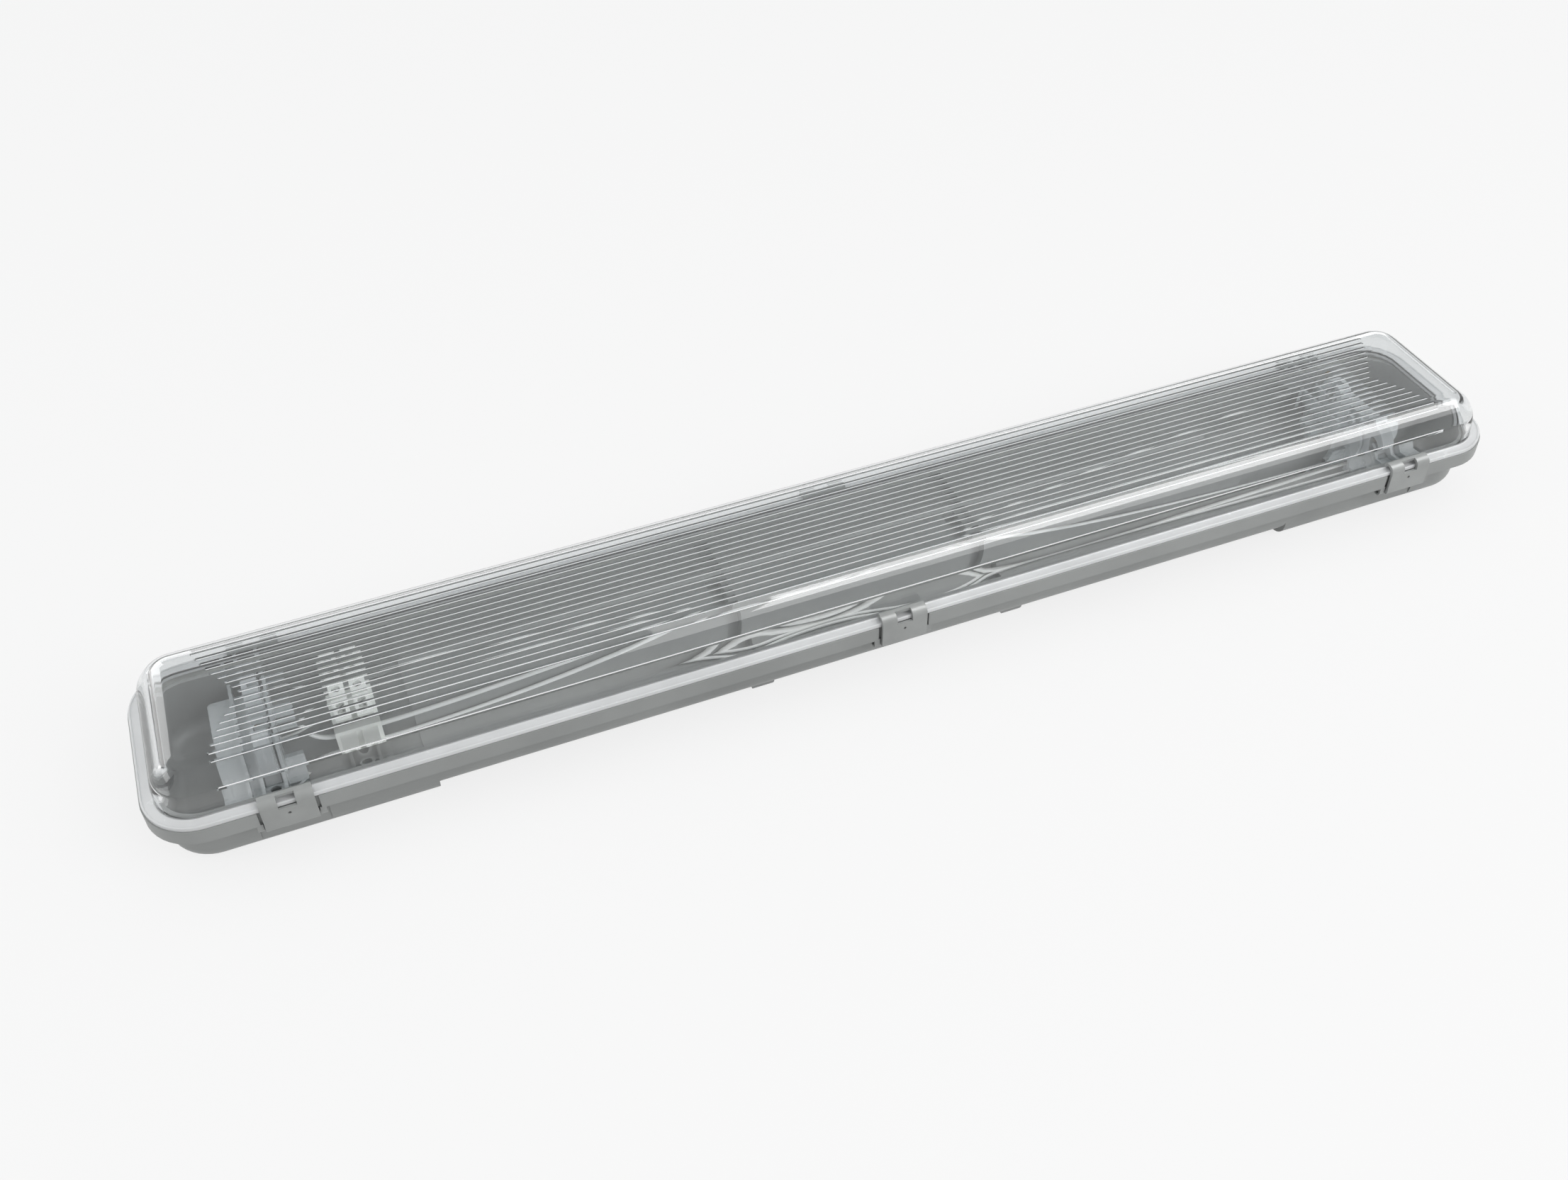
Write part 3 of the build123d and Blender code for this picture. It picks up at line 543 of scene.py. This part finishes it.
# Terminal screws: slotted cheese heads, one on every tower, in millimetres; each is turned a little by chance
screwSizes = {"radius": 1.6, "height": 3.4, "sides": 32, "edge": 0.12, "edgeSegments": 2, "slotLength": 6.0,
              "slotWidth": 0.6, "slotDepth": 0.8, "bottom": 15.4, "centre": (-240.0, 8.5), "spread": 9.4,
              "pitch": 10.0, "poles": 3, "seed": 7, "turnMost": 1.2, "sharpAngle": 32.0}


# one head with its slot cut by a thin block
def screwShape():
    s = screwSizes
    shape = bmesh.new()
    bmesh.ops.create_cone(shape, cap_ends=True, segments=s["sides"], radius1=s["radius"] * mm,
                          radius2=s["radius"] * mm, depth=s["height"] * mm)
    cutter = bpy.data.meshes.new("slotCutter")
    block = bmesh.new()
    bmesh.ops.create_cube(block, size=1.0)
    for vertex in block.verts:
        vertex.co = (vertex.co.x * s["slotWidth"] * mm, vertex.co.y * s["slotLength"] * mm,
                     vertex.co.z * 2 * s["slotDepth"] * mm + s["height"] / 2 * mm)
    block.to_mesh(cutter)
    block.free()
    mesh = bpy.data.meshes.new("screwHead")
    shape.to_mesh(mesh)
    shape.free()
    head = bpy.data.objects.new("screwHead", mesh)
    tool = bpy.data.objects.new("slotTool", cutter)
    for piece in (head, tool):
        bpy.context.scene.collection.objects.link(piece)
    cut = head.modifiers.new("slot", "BOOLEAN")
    cut.operation = "DIFFERENCE"
    cut.object = tool
    edge = head.modifiers.new("edge", "BEVEL")
    edge.width = s["edge"] * mm
    edge.segments = s["edgeSegments"]
    edge.limit_method = "ANGLE"
    depsgraph = bpy.context.evaluated_depsgraph_get()
    result = bpy.data.meshes.new_from_object(head.evaluated_get(depsgraph))
    for piece in (head, tool):
        bpy.data.objects.remove(piece)
    return result


# Geometry Nodes put a turned copy of the head on every point
def screwTree():
    tree = bpy.data.node_groups.new("terminalScrews", "GeometryNodeTree")
    tree.interface.new_socket("Geometry", in_out="INPUT", socket_type="NodeSocketGeometry")
    tree.interface.new_socket("Head", in_out="INPUT", socket_type="NodeSocketObject")
    tree.interface.new_socket("Metal", in_out="INPUT", socket_type="NodeSocketMaterial")
    tree.interface.new_socket("Geometry", in_out="OUTPUT", socket_type="NodeSocketGeometry")
    given = addNode(tree, "NodeGroupInput")
    shape = addNode(tree, "GeometryNodeObjectInfo", links={"Object": given.outputs["Head"]})
    points = addNode(tree, "GeometryNodeMeshToPoints", links={"Mesh": given.outputs["Geometry"]})
    most = screwSizes["turnMost"]
    turn = addNode(tree, "FunctionNodeRandomValue", {"data_type": "FLOAT"},
                   {"Seed": screwSizes["seed"], 2: -most, 3: most})
    spin = addNode(tree, "ShaderNodeCombineXYZ", links={"Z": turn.outputs[1]})
    copies = addNode(tree, "GeometryNodeInstanceOnPoints",
                     links={"Points": points.outputs["Points"], "Instance": shape.outputs["Geometry"],
                            "Rotation": spin.outputs["Vector"]})
    real = addNode(tree, "GeometryNodeRealizeInstances", links={"Geometry": copies.outputs["Instances"]})
    dressed = addNode(tree, "GeometryNodeSetMaterial",
                      links={"Geometry": real.outputs["Geometry"], "Material": given.outputs["Metal"]})
    addNode(tree, "NodeGroupOutput", links={"Geometry": dressed.outputs["Geometry"]})
    return tree


# two screws for each pole, as one mesh
def buildScrews():
    s = screwSizes
    spots = []
    for pole in range(s["poles"]):
        for end in (-1, 1):
            spots.append(((s["centre"][0] + end * s["spread"] / 2) * mm,
                          (s["centre"][1] + (pole - (s["poles"] - 1) / 2) * s["pitch"]) * mm,
                          (s["bottom"] + s["height"] / 2) * mm))
    cloud = bpy.data.meshes.new("screwSpots")
    cloud.from_pydata(spots, [], [])
    head = bpy.data.objects.new("screwMaster", screwShape())
    bpy.context.scene.collection.objects.link(head)
    mesh = bakeTree(screwTree(), cloud, {"Head": head, "Metal": zincSteel})
    bpy.data.objects.remove(head)
    mesh.shade_smooth()
    mesh.set_sharp_from_angle(angle=math.radians(s["sharpAngle"]))
    return mesh


screws = newObject("terminalScrews", buildScrews(), zincSteel, "housing")
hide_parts("terminal_screws")
print("terminal screws placed")

# Wires lie on the tray floor between the terminal block and the lampholders; routes in millimetres
wireSizes = {"radius": 1.0, "height": 8.15, "roundness": 5, "fineness": 8, "order": 3}
wireRoutes = {
    "wire_far_front": [(-232, -1.5), (-205, -1.5), (-90, -9.5), (-66, -23), (-47, -16.4), (-12, -14.6),
                       (18, -25.5), (48, -21.5), (68, -9.5), (252, -16), (277, -16)],
    "wire_far_back": [(-232, 8.5), (-207, 8.5), (-92, -5.5), (-65, -17.5), (-44, -13.5), (-12, -11.6),
                      (20, -21.5), (50, -18), (68, -5), (252, 16), (277, 16)],
    "wire_near_front": [(-248, -1.5), (-257.5, -1.5), (-266.5, -16), (-277, -16)],
    "wire_near_back": [(-248, 8.5), (-257.5, 8.5), (-266.5, 16), (-277, 16)],
}
for node, route in wireRoutes.items():
    curve = bpy.data.curves.new(node + "_line", "CURVE")
    curve.dimensions = "3D"
    curve.bevel_depth = wireSizes["radius"] * mm
    curve.bevel_resolution = wireSizes["roundness"]
    curve.resolution_u = wireSizes["fineness"]
    curve.use_fill_caps = True
    spline = curve.splines.new("NURBS")
    spline.points.add(len(route) - 1)
    for point, (x, y) in zip(spline.points, route):
        point.co = (x * mm, y * mm, wireSizes["height"] * mm, 1)
    spline.order_u = wireSizes["order"]
    spline.use_endpoint_u = True
    curve.materials.append(wireVinyl)
    strand = bpy.data.objects.new(node + "_strand", curve)
    bpy.context.scene.collection.objects.link(strand)
    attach(strand, "housing")
    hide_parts(node)
print("wires laid:", len(wireRoutes))

# Floor and surroundings: white to the camera, the clear cover and gloss, with the soft shadow kept
stageLook = {"floorColour": "#dedede", "floorHalf": 6.0, "floorDrop": 0.4 * mm, "shadowShare": 0.22,
             "skyColour": "#fbfcfc", "skyLow": 0.4, "skyHigh": 0.9, "skySeen": 1.0, "innerShare": 0.35}


# 1 where the camera, gloss or the clear cover shows the background; less for light that has left a dull
# surface below the cover, because the shadow rays have already brought that light in
def seenShare(tree):
    path = addNode(tree, "ShaderNodeLightPath")
    seen = path.outputs["Is Camera Ray"]
    for kind in ("Is Glossy Ray", "Is Transmission Ray"):
        either = addNode(tree, "ShaderNodeMath", {"operation": "MAXIMUM"},
                         links={0: seen, 1: path.outputs[kind]})
        seen = either.outputs["Value"]
    dulled = addNode(tree, "ShaderNodeMath", {"operation": "MINIMUM"}, {1: 1.0},
                     {0: path.outputs["Diffuse Depth"]})
    again = addNode(tree, "ShaderNodeMath", {"operation": "MULTIPLY"},
                    links={0: dulled.outputs["Value"], 1: path.outputs["Is Transmission Ray"]})
    kept = addNode(tree, "ShaderNodeMapRange", values={"To Min": 1.0, "To Max": stageLook["innerShare"]},
                   links={"Value": again.outputs["Value"]})
    return seen, kept.outputs["Result"]


# pale floor that shines white where it is only background and stays dull for a share, so the shadow shows
def whiteFloor():
    material, tree = newMaterial("paleFloor")
    seen, kept = seenShare(tree)
    share = addNode(tree, "ShaderNodeMath", {"operation": "MULTIPLY"}, {1: 1 - stageLook["shadowShare"]},
                    {0: seen})
    dull = addNode(tree, "ShaderNodeBsdfDiffuse", values={"Color": toLinear(stageLook["floorColour"])})
    glow = addNode(tree, "ShaderNodeEmission", values={"Color": (1, 1, 1, 1)}, links={"Strength": kept})
    mix = addNode(tree, "ShaderNodeMixShader", links={0: share.outputs["Value"], 1: dull.outputs["BSDF"],
                                                      2: glow.outputs["Emission"]})
    addNode(tree, "ShaderNodeOutputMaterial", links={"Surface": mix.outputs["Shader"]})
    return material


floorMesh = bpy.data.meshes.new("floor")
reach = stageLook["floorHalf"]
corners = [(x * reach, y * reach, -stageLook["floorDrop"]) for x, y in ((-1, -1), (1, -1), (1, 1), (-1, 1))]
floorMesh.from_pydata(corners, [], [(0, 1, 2, 3)])
floorMesh.materials.append(whiteFloor())
floor = bpy.data.objects.new("floor", floorMesh)
bpy.context.scene.collection.objects.link(floor)

world = bpy.data.worlds.new("studio")
bpy.context.scene.world = world
world.use_nodes = True
sky = world.node_tree
sky.nodes.clear()
seen, kept = seenShare(sky)
outward = addNode(sky, "ShaderNodeTexCoord").outputs["Generated"]
upward = addNode(sky, "ShaderNodeSeparateXYZ", links={"Vector": outward})
dome = addNode(sky, "ShaderNodeMapRange",
               values={"To Min": stageLook["skyLow"], "To Max": stageLook["skyHigh"]},
               links={"Value": upward.outputs["Z"]})
level = addNode(sky, "ShaderNodeMapRange", values={"To Max": stageLook["skySeen"]},
                links={"Value": seen, "To Min": dome.outputs["Result"]})
level = addNode(sky, "ShaderNodeMath", {"operation": "MULTIPLY"}, links={0: level.outputs["Result"], 1: kept})
air = addNode(sky, "ShaderNodeBackground", values={"Color": toLinear(stageLook["skyColour"])},
              links={"Strength": level.outputs["Value"]})
addNode(sky, "ShaderNodeOutputWorld", links={"Surface": air.outputs["Background"]})

# Soft boxes: place, target and size in metres, power in watts. A shine box shows only as a light in gloss, a
# dull box lights dull surfaces only, and a plain one does both
softBoxes = {
    "frontBox": {"place": (0.9, -1.25, 1.1), "target": (0.12, 0, 0.04), "size": (1.5, 1.0), "power": 15.0,
                 "kind": "dull"},
    "leftEndBox": {"place": (-1.7, 0.15, 0.95), "target": (-0.3, 0, 0.04), "size": (0.9, 0.45), "power": 4.0,
                   "kind": "plain"},
    "overheadWide": {"place": (0.95, -0.4, 1.25), "target": (0.95, -0.4, 0), "size": (1.7, 1.4), "power": 21.0,
                     "kind": "shine"},
    "overheadCore": {"place": (0.9, -0.25, 1.24), "target": (0.9, -0.25, 0), "size": (1.3, 0.7), "power": 20.0,
                     "kind": "shine"},
    "backStrip": {"place": (0.3, 1.4, 0.45), "target": (0.3, 0, 0.05), "size": (3.4, 0.5), "power": 16.0,
                  "kind": "shine"},
    "leftEndShine": {"place": (-1.07, 1.0, 0.64), "target": (-0.31, 0, 0.04), "size": (1.0, 0.6), "power": 7.0,
                     "kind": "shine"},
}
for name, box in softBoxes.items():
    lamp = bpy.data.lights.new(name, "AREA")
    lamp.shape = "RECTANGLE"
    lamp.size, lamp.size_y = box["size"]
    lamp.energy = box["power"]
    holder = bpy.data.objects.new(name, lamp)
    holder.location = box["place"]
    holder.rotation_euler = (Vector(box["target"]) - Vector(box["place"])).to_track_quat("-Z", "Y").to_euler()
    holder.visible_diffuse = box["kind"] != "shine"
    holder.visible_transmission = box["kind"] == "plain"
    holder.visible_glossy = box["kind"] != "dull"
    bpy.context.scene.collection.objects.link(holder)

# Camera as fitted to the photograph: place in metres, turn in radians, focal length as a share of the
# picture's width
cameraLook = {"place": (-0.23028, -0.50303, 0.52855), "turn": (0.8155, 0.0176, -0.3805),
              "focalShare": 2231.03 / 2212, "sensor": 36.0, "nearest": 0.01}
camera = bpy.data.cameras.new("camera")
camera.sensor_fit = "HORIZONTAL"
camera.sensor_width = cameraLook["sensor"]
camera.lens = cameraLook["sensor"] * cameraLook["focalShare"]
camera.clip_start = cameraLook["nearest"]
viewer = bpy.data.objects.new("camera", camera)
viewer.location = cameraLook["place"]
viewer.rotation_euler = cameraLook["turn"]
bpy.context.scene.collection.objects.link(viewer)
bpy.context.scene.camera = viewer
bpy.context.scene.view_settings.view_transform = "Standard"
print("stage, lights and camera set")

bpy.context.view_layer.update()
